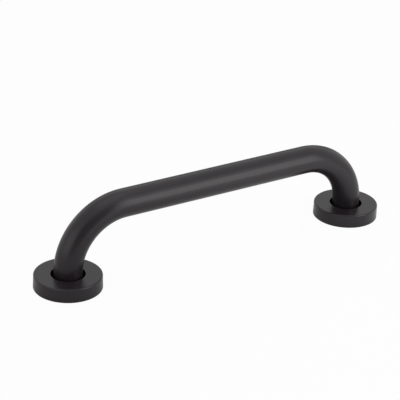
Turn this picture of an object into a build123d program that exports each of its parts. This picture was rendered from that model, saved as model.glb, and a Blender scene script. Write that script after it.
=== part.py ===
from build123d import *
import os
from math import cos, radians, tan

# Grab bar: a round tube with two bends, a flange plate welded to each end and a loose cover over each plate.
# Lengths are in millimetres. The wall is the plane z = 0, the bar runs along X and stands off the wall along +Z.

# Bar tube
leg_spacing = 300.0  # between the axes of the two legs
leg_straight = 14.0  # from the wall to the start of each bend
bend_radius = 54.0  # at the axis of the tube
tube_diameter = 25.4
tube_wall = 1.2
tube_end_setback = 0.5  # the tube stops short of the wall
tube_end_break = 0.25  # deburred edges of the cut ends

# Flange plates
screw_land = 14.3  # ring of plate from the weld to the edge, wide enough for the screw heads
plate_thickness = 3.0
plate_edge_chamfer = 0.5  # lead-in for the cover
tube_fit = 0.1  # radial clearance of the tube in the plate
screw_count = 3
screw_hole_diameter = 5.5

# Weld beads
weld_leg = 2.2
weld_crown = 0.25  # how far the face of the bead bulges

# Covers, drawn from sheet
cover_height = 12.4
cover_sheet = 0.8
cover_draft = 1.2  # degrees, narrower away from the wall
cover_edge_radius = 1.2  # outside, where the wall turns into the top
cover_fit = 0.3  # radial clearance of the cover over the plate
leg_clearance = 2.5  # radial clearance of the punched hole round the tube
hole_edge_radius = 0.25  # rolled edge of the punched hole

# Sizes that follow from the ones above
tube_radius = tube_diameter / 2
bar_axis_height = leg_straight + bend_radius
weld_toe_radius = tube_radius + weld_leg
plate_radius = weld_toe_radius + screw_land
screw_circle_radius = weld_toe_radius + screw_land / 2  # heads clear the weld and the cover alike
cover_wall_run = plate_thickness * tan(radians(cover_draft))  # what the draft takes up over the plate
cover_wall_width = cover_sheet / cos(radians(cover_draft))  # the sheet measured along the wall plane
cover_rim_radius = plate_radius + cover_fit + cover_wall_run + cover_wall_width

os.makedirs("parts", exist_ok=True)


def make_flange_plate(leg_plane, outward_angle):
    # A plain disc with a bore for the tube. One screw hole points away from the bar, so that none lies under it.
    with BuildPart() as plate:
        with BuildSketch(leg_plane):
            Circle(plate_radius)
            Circle(tube_radius + tube_fit, mode=Mode.SUBTRACT)
            with PolarLocations(screw_circle_radius, screw_count, start_angle=outward_angle):
                Circle(screw_hole_diameter / 2, mode=Mode.SUBTRACT)
        extrude(amount=plate_thickness)
        front_face = plate.faces().sort_by(Axis.Z)[-1]
        chamfer(front_face.outer_wire().edges(), plate_edge_chamfer)
    return plate


def make_weld_bead(leg_plane):
    # A fillet weld: one leg on the tube, one on the plate, and a slightly bulging face between their toes.
    section_plane = Plane(leg_plane.origin, x_dir=leg_plane.x_dir, z_dir=-leg_plane.y_dir)
    tube_toe = (tube_radius, plate_thickness + weld_leg)
    plate_toe = (weld_toe_radius, plate_thickness)
    root = (tube_radius, plate_thickness)
    with BuildPart() as bead:
        with BuildSketch(section_plane):
            with BuildLine():
                Polyline(tube_toe, root, plate_toe)
                SagittaArc(plate_toe, tube_toe, -weld_crown)
            make_face()
        revolve(axis=Axis(leg_plane.origin, leg_plane.z_dir))
    return bead


def make_cover(leg_plane):
    # A drafted cup with a rounded edge, hollowed to the sheet's thickness, with a hole punched for the leg.
    with BuildPart() as cover:
        with BuildSketch(leg_plane):
            Circle(cover_rim_radius)
        extrude(amount=cover_height, taper=cover_draft)
        fillet(cover.faces().sort_by(Axis.Z)[-1].edges(), cover_edge_radius)
        offset(amount=-cover_sheet, openings=cover.faces().sort_by(Axis.Z)[0])
        with BuildSketch(leg_plane.offset(cover_height)):
            Circle(tube_radius + leg_clearance)
        extrude(amount=-cover_sheet, mode=Mode.SUBTRACT)
        top_face = cover.faces().sort_by(Axis.Z)[-1]
        fillet(top_face.inner_wires().edges(), hole_edge_radius)
    return cover


# The bar: one length of tube from plate to plate, bent up from each leg into the straight run
with BuildPart() as bar_tube:
    with BuildLine():
        FilletPolyline(
            (-leg_spacing / 2, 0, tube_end_setback),
            (-leg_spacing / 2, 0, bar_axis_height),
            (leg_spacing / 2, 0, bar_axis_height),
            (leg_spacing / 2, 0, tube_end_setback),
            radius=bend_radius,
        )
    with BuildSketch(Plane.XY.offset(tube_end_setback)):
        with Locations((-leg_spacing / 2, 0)):
            Circle(tube_radius)
            Circle(tube_radius - tube_wall, mode=Mode.SUBTRACT)
    sweep()
    end_faces = bar_tube.faces().filter_by(GeomType.PLANE)
    chamfer(end_faces.edges(), tube_end_break)
bar_tube.part.label = "bar_tube"
export_step(bar_tube.part, "parts/bar_tube.step")

# The pieces at each end, on the plane where that leg meets the wall
ends = {
    "left": (Plane((-leg_spacing / 2, 0, 0)), 180),
    "right": (Plane((leg_spacing / 2, 0, 0)), 0),
}
for side, (leg_plane, outward_angle) in ends.items():
    pieces = {
        f"{side}_flange_plate": make_flange_plate(leg_plane, outward_angle),
        f"{side}_weld_bead": make_weld_bead(leg_plane),
        f"{side}_cover": make_cover(leg_plane),
    }
    for name, piece in pieces.items():
        piece.part.label = name
        export_step(piece.part, f"parts/{name}.step")
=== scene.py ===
import math

import bpy
import numpy as np
from mathutils import Matrix, Vector


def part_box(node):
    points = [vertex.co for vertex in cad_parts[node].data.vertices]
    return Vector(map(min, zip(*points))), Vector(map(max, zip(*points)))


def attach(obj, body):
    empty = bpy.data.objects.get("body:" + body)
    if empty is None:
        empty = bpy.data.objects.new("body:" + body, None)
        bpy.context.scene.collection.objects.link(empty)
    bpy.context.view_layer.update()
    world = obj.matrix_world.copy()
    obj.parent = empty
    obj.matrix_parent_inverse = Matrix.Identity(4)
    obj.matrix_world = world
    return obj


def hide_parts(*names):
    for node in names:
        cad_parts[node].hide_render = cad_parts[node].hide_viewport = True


# a satin black grab bar: a bent tube, a plate welded to each end and a loose cover over each plate
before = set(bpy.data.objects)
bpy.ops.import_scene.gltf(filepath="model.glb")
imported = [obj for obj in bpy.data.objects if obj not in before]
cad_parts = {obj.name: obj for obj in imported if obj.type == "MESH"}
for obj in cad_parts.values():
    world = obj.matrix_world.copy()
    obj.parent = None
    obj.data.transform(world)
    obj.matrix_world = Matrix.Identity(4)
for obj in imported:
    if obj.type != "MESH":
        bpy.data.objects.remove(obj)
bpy.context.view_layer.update()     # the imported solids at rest, in metres
mm = 0.001
print("frame loaded:", ", ".join(sorted(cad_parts)))


# shader maths as plain expressions: a Wire is one socket of one node tree
class Wire:
    def __init__(self, tree, socket=None):
        self.tree = tree
        self.socket = socket

    # any node: its type, then its settings, then the values or links of its sockets
    def node(self, kind, settings=None, sockets=None, output=0):
        made = self.tree.nodes.new(kind)
        for name, value in (settings or {}).items():
            setattr(made, name, value)
        for name, value in (sockets or {}).items():
            if isinstance(value, Wire):
                self.tree.links.new(value.socket, made.inputs[name])
            else:
                made.inputs[name].default_value = value
        return Wire(self.tree, made.outputs[output] if made.outputs else None)

    def math(self, operation, *values):
        return self.node("ShaderNodeMath", {"operation": operation}, dict(enumerate(values)))

    def __add__(self, other):
        return self.math("ADD", self, other)

    def __sub__(self, other):
        return self.math("SUBTRACT", self, other)

    def __rsub__(self, other):
        return self.math("SUBTRACT", other, self)

    def __mul__(self, other):
        return self.math("MULTIPLY", self, other)

    __radd__ = __add__
    __rmul__ = __mul__

    # 0 at low, 1 at high, and an even S between them
    def step(self, low, high):
        return self.node("ShaderNodeMapRange", {"interpolation_type": "SMOOTHSTEP"},
                         {"Value": self, "From Min": low, "From Max": high})

    # a colour from dark to light by this value; 6, 7 and output 2 are the colours of a Mix node
    def tint(self, dark, light):
        return self.node("ShaderNodeMix", {"data_type": "RGBA"},
                         {"Factor": self, 6: dark, 7: light}, output=2)


def grey(level):
    return (level, level, level, 1.0)


def shade(colour, factor):
    return tuple(channel * factor for channel in colour) + (1.0,)


def newMaterial(name):
    material = bpy.data.materials.new(name)
    material.use_nodes = True
    material.node_tree.nodes.clear()
    return material, Wire(material.node_tree)


def finishMaterial(wire, shader):
    wire.node("ShaderNodeOutputMaterial", None, {"Surface": shader})


noiseLow, noiseMiddle, noiseHigh = 0.3, 0.5, 0.7  # nearly all of a noise lies between the outer two


def noiseAt(wire, place, featureSize, detail=2.0, roughness=0.5):
    return wire.node("ShaderNodeTexNoise", None, {
        "Vector": place, "Scale": 1 / featureSize, "Detail": detail, "Roughness": roughness})


# satin black coat over steel: a deep black film with a faint orange peel and a powder grain
coatLook = {
    "black": (0.0126, 0.0096, 0.0120),  # base colour of the film, with a hint of plum
    "blackSpread": 0.2,        # share by which the colour goes darker and lighter
    "roughness": 0.29,
    "cloudRoughness": 0.06,    # spread of the roughness with the clouds
    "grainRoughness": 0.10,    # and with the grain
    "shine": 0.3187,           # specular level: 0.5 is a plain gloss, and a dull film has less
    "cloudSize": 30 * mm,      # broad uneven sheen
    "peelSize": 1.6 * mm,      # orange peel
    "grainSize": 0.3 * mm,     # powder grain
    "grainDetail": 3.0,
    "grainHarshness": 0.6,     # weight of the finest grain
    "relief": 0.012 * mm,      # height of peel and grain together
    "peelShare": 0.7,          # the peel's part of that height
}
plateLook = dict(coatLook, roughness=0.5, grainSize=0.5 * mm, relief=0.02 * mm)


def coatMaterial(name, look):
    material, wire = newMaterial(name)
    place = wire.node("ShaderNodeTexCoord", output="Object")
    cloud = noiseAt(wire, place, look["cloudSize"])
    peel = noiseAt(wire, place, look["peelSize"])
    grain = noiseAt(wire, place, look["grainSize"], look["grainDetail"], look["grainHarshness"])
    dark = shade(look["black"], 1 - look["blackSpread"])
    light = shade(look["black"], 1 + look["blackSpread"])
    colour = ((cloud + grain) * 0.5).step(noiseLow, noiseHigh).tint(dark, light)
    roughness = look["roughness"] + (cloud - noiseMiddle) * look["cloudRoughness"]
    roughness = roughness + (grain - noiseMiddle) * look["grainRoughness"]
    height = peel * look["peelShare"] + grain * (1 - look["peelShare"])
    bump = wire.node("ShaderNodeBump", None, {
        "Strength": 1.0, "Distance": look["relief"], "Height": height})
    finishMaterial(wire, wire.node("ShaderNodeBsdfPrincipled", None, {
        "Base Color": colour, "Roughness": roughness, "Normal": bump,
        "Specular IOR Level": look["shine"]}))
    return material


# inside of the tube: drawn steel left bare, with coat that has drifted in from the open ends
boreLook = {
    "black": coatLook["black"],
    "steel": (0.56, 0.55, 0.53),
    "steelDark": 0.8,          # darkest shade of the steel, as a share of its colour
    "roughness": 0.42,
    "grainRoughness": 0.2,
    "cloudSize": 9 * mm,
    "cloudDetail": 3.0,
    "grainSize": 0.6 * mm,
    "driftStart": 8 * mm,      # coat covers the bore this far in
    "driftEnd": 34 * mm,       # and is gone by here
    "driftSpread": 14 * mm,    # how far its edge wanders
}


def boreMaterial(name, look):
    material, wire = newMaterial(name)
    place = wire.node("ShaderNodeTexCoord", output="Object")
    depth = wire.node("ShaderNodeAttribute", {"attribute_name": "boreDepth"}, output="Fac")
    cloud = noiseAt(wire, place, look["cloudSize"], look["cloudDetail"])
    grain = noiseAt(wire, place, look["grainSize"])
    drift = depth + (cloud - noiseMiddle) * look["driftSpread"]
    bare = drift.step(look["driftStart"], look["driftEnd"])
    steel = grain.tint(shade(look["steel"], look["steelDark"]), shade(look["steel"], 1.0))
    colour = bare.tint(shade(look["black"], 1.0), steel)
    roughness = look["roughness"] + (grain - noiseMiddle) * look["grainRoughness"]
    finishMaterial(wire, wire.node("ShaderNodeBsdfPrincipled", None, {
        "Base Color": colour, "Metallic": bare, "Roughness": roughness}))
    return material


barCoat = coatMaterial("satin_black_bar", coatLook)
coverCoat = coatMaterial("satin_black_cover", coatLook)
plateCoat = coatMaterial("black_plate", plateLook)
weldCoat = coatMaterial("black_weld", plateLook)
boreSteel = boreMaterial("bare_bore", boreLook)
print("materials made")


# points that wrap round both ways, rows along the section and columns round the piece, as one closed skin
def closedSkin(name, grid, materials, rowMaterial=None):
    rows, columns = grid.shape[:2]
    index = np.arange(rows * columns).reshape(rows, columns)
    nextRow, nextColumn = np.roll(index, -1, 0), np.roll(index, -1, 1)
    quads = np.stack([index, nextColumn, np.roll(nextRow, -1, 1), nextRow], -1).reshape(-1, 4)
    points = grid.reshape(-1, 3)
    a, b, c, d = (points[quads[:, k]] for k in range(4))
    # six times the volume: wedges from the origin to each face, below zero if the faces point in
    volume = np.einsum("ij,ij->", a, np.cross(b, c)) + np.einsum("ij,ij->", a, np.cross(c, d))
    if volume < 0:
        quads = quads[:, ::-1]
    mesh = bpy.data.meshes.new(name)
    mesh.from_pydata(points, [], quads)
    mesh.polygons.foreach_set("use_smooth", np.ones(len(quads), bool))
    for material in materials:
        mesh.materials.append(material)
    if rowMaterial is not None:
        mesh.polygons.foreach_set("material_index", np.repeat(rowMaterial, columns).astype(np.int32))
    piece = bpy.data.objects.new(name, mesh)
    bpy.context.collection.objects.link(piece)
    return piece


# even angles once round, without the first one again at the end
def anglesRound(steps):
    return np.linspace(0, 2 * np.pi, steps, endpoint=False)


# radius and height at each angle round an upright axis at x = centreX; both may change with the angle
def turned(radius, height, angle, centreX):
    return np.stack(np.broadcast_arrays(
        centreX + radius * np.cos(angle), radius * np.sin(angle), height), -1)


# the bar: a ring carried along leg, bend, run, bend and leg, outside there and inside back
barLook = {
    "bendRadius": 54 * mm,     # at the tube's axis
    "wall": 1.2 * mm,
    "endBreak": 0.25 * mm,     # rounding of the cut ends
    "rows": (6, 56, 48, 56, 6),  # along leg, bend, run, bend and leg
    "ringSteps": 112,
    "lipSteps": 5,
}
barLow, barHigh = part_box("bar_tube")
tubeRadius = barHigh.y
legX = barHigh.x - tubeRadius
axisHeight = barHigh.z - tubeRadius
legLength = axisHeight - barLook["bendRadius"] - barLow.z
runLength = 2 * (legX - barLook["bendRadius"])
bendLength = barLook["bendRadius"] * math.pi / 2
# where each stretch after the first leg starts, measured along the axis, and where the tube ends
stretches = [legLength, bendLength, runLength, bendLength, legLength]
firstBend, run, secondBend, lastLeg, tubeEnd = np.cumsum(stretches)


# each stretch adds its own share to the place: both legs in z, both bends as quarter circles, the run in x;
# the ring stands square to the path, which turns from straight up to straight down
def tubeRings(along, radius, steps):
    bend = barLook["bendRadius"]
    firstTurn = np.clip((along - firstBend) / bend, 0, np.pi / 2)
    secondTurn = np.clip((along - secondBend) / bend, 0, np.pi / 2)
    straight = np.clip(along - run, 0, runLength)
    x = -legX + bend * (1 - np.cos(firstTurn)) + straight + bend * np.sin(secondTurn)
    rise = np.minimum(along, legLength) + bend * np.sin(firstTurn)
    fall = bend * (1 - np.cos(secondTurn)) + np.maximum(along - lastLeg, 0)
    z = barLow.z + rise - fall
    heading = np.pi / 2 - firstTurn - secondTurn
    angle = anglesRound(steps)
    outward = radius[:, None] * np.cos(angle)
    return np.stack([x[:, None] - np.sin(heading)[:, None] * outward,
                     radius[:, None] * np.sin(angle),
                     z[:, None] + np.cos(heading)[:, None] * outward], -1)


def makeBar():
    edge, wall = barLook["endBreak"], barLook["wall"]
    boreRadius = tubeRadius - wall
    stops = [edge, firstBend, run, secondBend, lastLeg, tubeEnd - edge]
    rows = [np.linspace(start, end, count, endpoint=False)
            for start, end, count in zip(stops, stops[1:], barLook["rows"])]
    walk = np.concatenate(rows + [stops[-1:]])
    # the lip at a cut end, two quarter circles from outside to inside: distance from the end, and radius
    turn = np.linspace(0, np.pi / 2, barLook["lipSteps"])[1:]
    back, inset = edge * (1 - np.sin(turn)), edge * (1 - np.cos(turn))
    lipBack = np.concatenate([back, back[::-1]])
    lipRadius = np.concatenate([tubeRadius - inset, (boreRadius + inset)[::-1]])
    outside, inside = np.full(len(walk), tubeRadius), np.full(len(walk), boreRadius)
    along = np.concatenate([walk, tubeEnd - lipBack, walk[::-1], lipBack[::-1]])
    radius = np.concatenate([outside, lipRadius, inside, lipRadius[::-1]])
    isBore = (radius < tubeRadius - wall / 2).astype(int)
    grid = tubeRings(along, radius, barLook["ringSteps"])
    piece = closedSkin("bar_tube_skin", grid, [barCoat, boreSteel], isBore)
    depth = np.repeat(np.minimum(along, tubeEnd - along), barLook["ringSteps"])
    boreDepth = piece.data.attributes.new("boreDepth", "FLOAT", "POINT")
    boreDepth.data.foreach_set("value", depth.astype(np.float32))
    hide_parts("bar_tube")
    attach(piece, "bar_body")


makeBar()
print("bar made: leg axes %.1f mm apart" % (2 * legX / mm))

# a cover: the outline of a drawn cup with a punched hole, turned round the leg's axis
coverLook = {
    "sheet": 0.8 * mm,
    "draft": math.radians(1.2),
    "edgeRadius": 1.2 * mm,    # outside, where the wall turns into the top
    "legClearance": 2.5 * mm,  # between the tube and the hole
    "holeEdge": 0.25 * mm,     # rolled edge of the hole
    "rimEdge": 0.15 * mm,      # the other cut edges
    "arcSteps": 7,
    "hold": 0.12 * mm,         # from an arc's end to the point that keeps the flat beside it flat
    "turnSteps": 160,
}


# a closed outline of (x, y, rounding) corners, each turned into an arc: the arc's centre lies on the
# corner's bisector, and a holding point stands on the straight a little way off each end of the arc
def roundedOutline(rows, arcSteps, hold):
    rows = np.array(rows)
    corners, radii = rows[:, :2], rows[:, 2]
    toLast = np.roll(corners, 1, 0) - corners
    toNext = np.roll(corners, -1, 0) - corners
    toLast /= np.linalg.norm(toLast, axis=1, keepdims=True)
    toNext /= np.linalg.norm(toNext, axis=1, keepdims=True)
    half = np.arccos(np.clip((toLast * toNext).sum(1), -1, 1)) / 2
    cut = radii / np.tan(half)  # what the arc takes off each straight
    bisector = toLast + toNext
    bisector /= np.linalg.norm(bisector, axis=1, keepdims=True)
    centre = corners + bisector * (radii / np.sin(half))[:, None]
    start = corners + toLast * cut[:, None] - centre
    turn = np.linspace(0, 1, arcSteps)[None, :, None] * (np.pi - 2 * half)[:, None, None]
    side = np.sign(toLast[:, 0] * toNext[:, 1] - toLast[:, 1] * toNext[:, 0])[:, None, None]
    across = np.stack([-start[:, 1], start[:, 0]], -1)[:, None]
    arc = centre[:, None] + start[:, None] * np.cos(turn) - side * across * np.sin(turn)
    before = corners + toLast * (cut + hold)[:, None]
    after = corners + toNext * (cut + hold)[:, None]
    return np.concatenate([before[:, None], arc, after[:, None]], 1).reshape(-1, 2)


def makeCover(side):
    low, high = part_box(side + "_cover")
    sheet, slope = coverLook["sheet"], math.tan(coverLook["draft"])
    wall = sheet / math.cos(coverLook["draft"])  # the sheet as a level cut through the wall shows it
    rim, top = (high.y - low.y) / 2, high.z
    ceiling = top - sheet
    hole = tubeRadius + coverLook["legClearance"]
    cutEdge, edge = coverLook["rimEdge"], coverLook["edgeRadius"]
    corners = [
        (rim, low.z, cutEdge),
        (rim - top * slope, top, edge),
        (hole, top, coverLook["holeEdge"]),
        (hole, ceiling, cutEdge),
        (rim - wall - ceiling * slope, ceiling, edge - sheet),
        (rim - wall, low.z, cutEdge),
    ]
    outline = roundedOutline(corners, coverLook["arcSteps"], coverLook["hold"])
    radius, height = outline[:, :1], outline[:, 1:]
    grid = turned(radius, height, anglesRound(coverLook["turnSteps"]), (low.x + high.x) / 2)
    piece = closedSkin(side + "_cover_skin", grid, [coverCoat])
    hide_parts(side + "_cover")
    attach(piece, side + "_cover_body")


# a weld bead: a ring of overlapping ripples between the tube and the plate
weldLook = {
    "crown": 0.25 * mm,        # how far the face bulges
    "ripples": 40,
    "grooveDepth": 0.16 * mm,  # between the ripples
    "grooveWidth": 0.7,        # power of the ripple's sine: the lower, the narrower the grooves
    "rippleBow": 0.12,         # how far a ripple's middle runs ahead of its ends, in radians
    "unevenness": 0.35,
    "waves": (3, 7),           # slow waves round the ring, which make the grooves uneven
    "waveShift": 1.0,          # of the first wave, in radians
    "turnSteps": 480,
    "faceSteps": 16,
}


# the face slants at 45 degrees from the plate up to the tube and bulges as a half sine across; grooves lie
# where a sine round the ring crosses zero, bow forward in the middle of the face, and vary with slow waves
def makeWeld(side):
    low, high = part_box(side + "_weld_bead")
    toe, leg = (high.y - low.y) / 2, high.z - low.z
    angle = anglesRound(weldLook["turnSteps"])[None]
    across = np.linspace(0, 1, weldLook["faceSteps"])[:, None]
    bow = np.sin(np.pi * across)
    phase = weldLook["ripples"] * (angle + weldLook["rippleBow"] * bow) / 2
    firstWave, secondWave = weldLook["waves"]
    waves = np.sin(firstWave * angle + weldLook["waveShift"]) * np.sin(secondWave * angle)
    groove = 1 - np.abs(np.sin(phase)) ** weldLook["grooveWidth"]
    groove = groove * (1 + weldLook["unevenness"] * waves)
    bulge = bow * (weldLook["crown"] - weldLook["grooveDepth"] * groove) / math.sqrt(2)
    radius = toe - leg * across + bulge
    height = low.z + leg * across + bulge
    # one more row at the root closes the section
    radius = np.concatenate([radius, np.full_like(angle, toe - leg)])
    height = np.concatenate([height, np.full_like(angle, low.z)])
    grid = turned(radius, height, angle, (low.x + high.x) / 2)
    piece = closedSkin(side + "_weld_skin", grid, [weldCoat])
    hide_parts(side + "_weld_bead")
    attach(piece, "bar_body")


# a flange plate keeps its CAD shape and gets the plain coat
def coatPlate(side):
    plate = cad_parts[side + "_flange_plate"]
    plate.data.materials.clear()
    plate.data.materials.append(plateCoat)


for side in ("left", "right"):
    makeCover(side)
    makeWeld(side)
    coatPlate(side)
print("covers, welds and plates made")

# studio: pale floor, white surroundings, one tall softbox at the right, soft fill, and grey panels by the
# camera and behind the bar; lengths are in metres, and a brightness of 1 is plain white
studio = {
    "white": 1.0,
    "floorReach": 6.0,         # from the middle to each side
    "floorColour": 0.6,        # of the floor's lit share
    "floorWhite": 0.95,        # share of plain white on the floor, as the camera sees it
    "floorGloss": 0.2,         # the same share, as the coat sees it
    "poolPlace": (0.15, -0.3, 0),  # a painted pool of light on the floor, which only the coat sees
    "poolRadius": 0.4,
    "poolBrightness": 1.03,
    "aim": (0, 0, 40 * mm),    # the lamps point here
    "lamps": [
        # name, azimuth, elevation, distance, width, height, brightness
        ("right_softbox", 30, 17, 0.9, 0.5, 0.62, 2.77),
        ("right_fill", 35, 42, 1.2, 0.7, 0.5, 0.85),
        ("left_softbox", -80, 17, 1.1, 0.8, 0.58, 0.6),
        ("top_softbox", 0, 89, 1.3, 1.0, 1.0, 0.6),
    ],
    "panelSteps": 40,
    "panels": [
        # name, first and last azimuth, distance, height, brightness
        ("camera_panel", -50, 14, 1.9, 1.75, 0.31),
        ("back_panel", 120, 180, 2.4, 0.65, 0.1),
    ],
}


# the way to a place in the studio: azimuth counts from the front to the right, elevation from the floor up
def wayTo(azimuth, elevation):
    a, e = math.radians(azimuth), math.radians(elevation)
    return Vector((math.sin(a) * math.cos(e), -math.cos(a) * math.cos(e), math.sin(e)))


def glow(wire, colour):
    return wire.node("ShaderNodeEmission", None, {"Color": colour, "Strength": 1.0})


def stagePiece(name, points, quads, material):
    mesh = bpy.data.meshes.new(name)
    mesh.from_pydata(points, [], quads)
    mesh.materials.append(material)
    piece = bpy.data.objects.new(name, mesh)
    bpy.context.collection.objects.link(piece)
    return piece


# the floor is a lit surface mixed with plain white, by one share for the camera and glass and another for
# gloss; gloss alone also sees a painted pool of light, a glow full in the middle and fading smoothly to its
# edge
def makeFloor():
    material, wire = newMaterial("pale_floor")
    rays = ("Is Camera Ray", "Is Glossy Ray", "Is Transmission Ray")
    camera, gloss, glass = (wire.node("ShaderNodeLightPath", output=ray) for ray in rays)
    lit = wire.node("ShaderNodeBsdfDiffuse", None, {"Color": grey(studio["floorColour"])})
    white = glow(wire, grey(studio["white"]))
    share = (camera + glass) * studio["floorWhite"] + gloss * studio["floorGloss"]
    plain = wire.node("ShaderNodeMixShader", None, {0: share, 1: lit, 2: white})
    # painted pool of light: a glow with no lamp behind it, fading from poolPlace out to poolRadius
    place = wire.node("ShaderNodeTexCoord", output="Object")
    away = wire.node("ShaderNodeVectorMath", {"operation": "DISTANCE"},
                     {0: place, 1: studio["poolPlace"]}, output="Value")
    fade = gloss * away.step(studio["poolRadius"], 0)
    pool = glow(wire, fade.tint(grey(0.0), grey(studio["poolBrightness"])))
    finishMaterial(wire, wire.node("ShaderNodeAddShader", None, {0: plain, 1: pool}))
    reach = studio["floorReach"]
    corners = [(-reach, -reach, 0), (reach, -reach, 0), (reach, reach, 0), (-reach, reach, 0)]
    stagePiece("floor", corners, [(0, 1, 2, 3)], material)


# a grey panel: an upright strip bent round the object, which only shows as a darker band in the coat
def makePanel(name, fromAzimuth, toAzimuth, distance, height, brightness):
    material, wire = newMaterial(name)
    finishMaterial(wire, glow(wire, grey(brightness)))
    turn = np.radians(np.linspace(fromAzimuth, toAzimuth, studio["panelSteps"]))
    foot = np.stack([distance * np.sin(turn), -distance * np.cos(turn), np.zeros_like(turn)], -1)
    points = np.concatenate([foot, foot + (0, 0, height)])
    low = np.arange(len(turn) - 1)
    quads = np.stack([low, low + 1, low + 1 + len(turn), low + len(turn)], -1)
    panel = stagePiece(name, points, quads, material)
    panel.visible_camera = False


def makeWorld():
    world = bpy.data.worlds.new("studio")
    bpy.context.scene.world = world
    world.use_nodes = True
    world.node_tree.nodes.clear()
    wire = Wire(world.node_tree)
    light = wire.node("ShaderNodeBackground", None, {"Color": grey(studio["white"]), "Strength": 1.0})
    wire.node("ShaderNodeOutputWorld", None, {"Surface": light})


# a lamp's power is pi times its area times its brightness
def makeLamp(name, azimuth, elevation, distance, width, height, brightness):
    data = bpy.data.lights.new(name, "AREA")
    data.shape = "RECTANGLE"
    data.size, data.size_y = width, height
    data.energy = math.pi * width * height * brightness
    lamp = bpy.data.objects.new(name, data)
    way = wayTo(azimuth, elevation)
    lamp.location = Vector(studio["aim"]) + way * distance
    lamp.rotation_euler = (-way).to_track_quat("-Z", "Y").to_euler()
    lamp.visible_camera = False
    bpy.context.collection.objects.link(lamp)


makeFloor()
makeWorld()
for panelRow in studio["panels"]:
    makePanel(*panelRow)
for lampRow in studio["lamps"]:
    makeLamp(*lampRow)
print("studio made:", len(studio["lamps"]), "lamps and", len(studio["panels"]), "panels")

# camera: turned round the bar from the front, tilted down and rolled a little, as the photograph was taken
cameraLook = {
    "azimuth": -33.52,
    "elevation": 25.87,
    "roll": 2.45,
    "distance": 1457.8 * mm,
    "aim": (-16.7 * mm, 0, 52.5 * mm),
    "lens": 146.83,            # in millimetres, on a sensor this wide
    "sensor": 36.0,
    "nearest": 0.05,           # what is nearer or farther isn't drawn
    "farthest": 50.0,
}


def makeCamera():
    data = bpy.data.cameras.new("camera")
    data.lens, data.sensor_width = cameraLook["lens"], cameraLook["sensor"]
    data.clip_start, data.clip_end = cameraLook["nearest"], cameraLook["farthest"]
    camera = bpy.data.objects.new("camera", data)
    turn = Matrix.Rotation(math.radians(cameraLook["azimuth"]), 4, "Z")
    tilt = Matrix.Rotation(math.radians(90 - cameraLook["elevation"]), 4, "X")
    roll = Matrix.Rotation(math.radians(cameraLook["roll"]), 4, "Z")
    back = Matrix.Translation((0, 0, cameraLook["distance"]))
    camera.matrix_world = Matrix.Translation(cameraLook["aim"]) @ turn @ tilt @ back @ roll
    bpy.context.collection.objects.link(camera)
    bpy.context.scene.camera = camera


makeCamera()
bpy.context.scene.view_settings.view_transform = "Standard"
print("camera placed")
